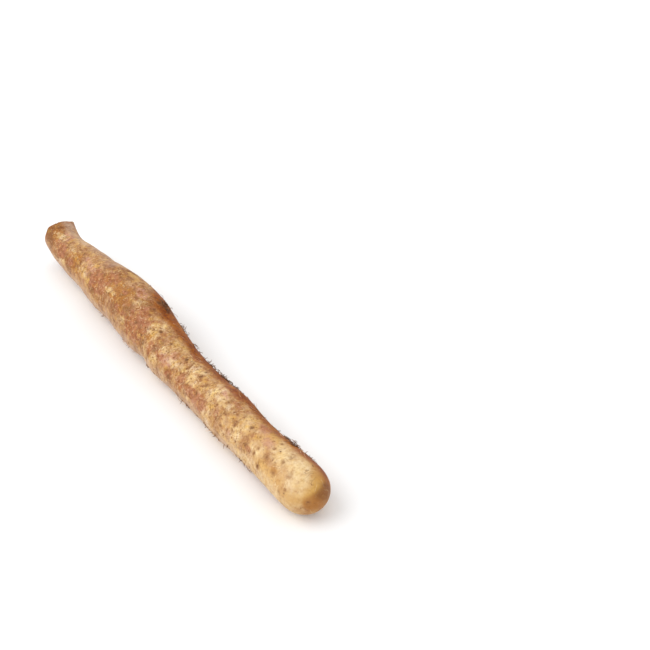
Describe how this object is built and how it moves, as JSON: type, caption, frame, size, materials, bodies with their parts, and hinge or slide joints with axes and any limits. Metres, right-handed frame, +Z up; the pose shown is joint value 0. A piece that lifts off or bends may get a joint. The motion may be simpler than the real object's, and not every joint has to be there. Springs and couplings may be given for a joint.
{
  "type": "yam tuber",
  "caption": "Long slender yam tuber with a dry cut neck and a rounded growing tip, gently bowed, with mottled corky skin and fine rootlets, lying on its side.",
  "frame": {"origin": "on the table under the middle of the tuber's box", "axes": "+X from the cut neck to the growing tip, +Z up, so +Y is the tuber's left seen from the neck"},
  "size_m": [0.4328, 0.049, 0.048],
  "materials": {
    "skin": "thin matt corky skin, mottled ochre, cream and reddish brown, with small root scars",
    "rootlets": "dry brown hair-like rootlets"
  },
  "bodies": {
    "root": {"tuber": "skin"}
  },
  "joints": []
}
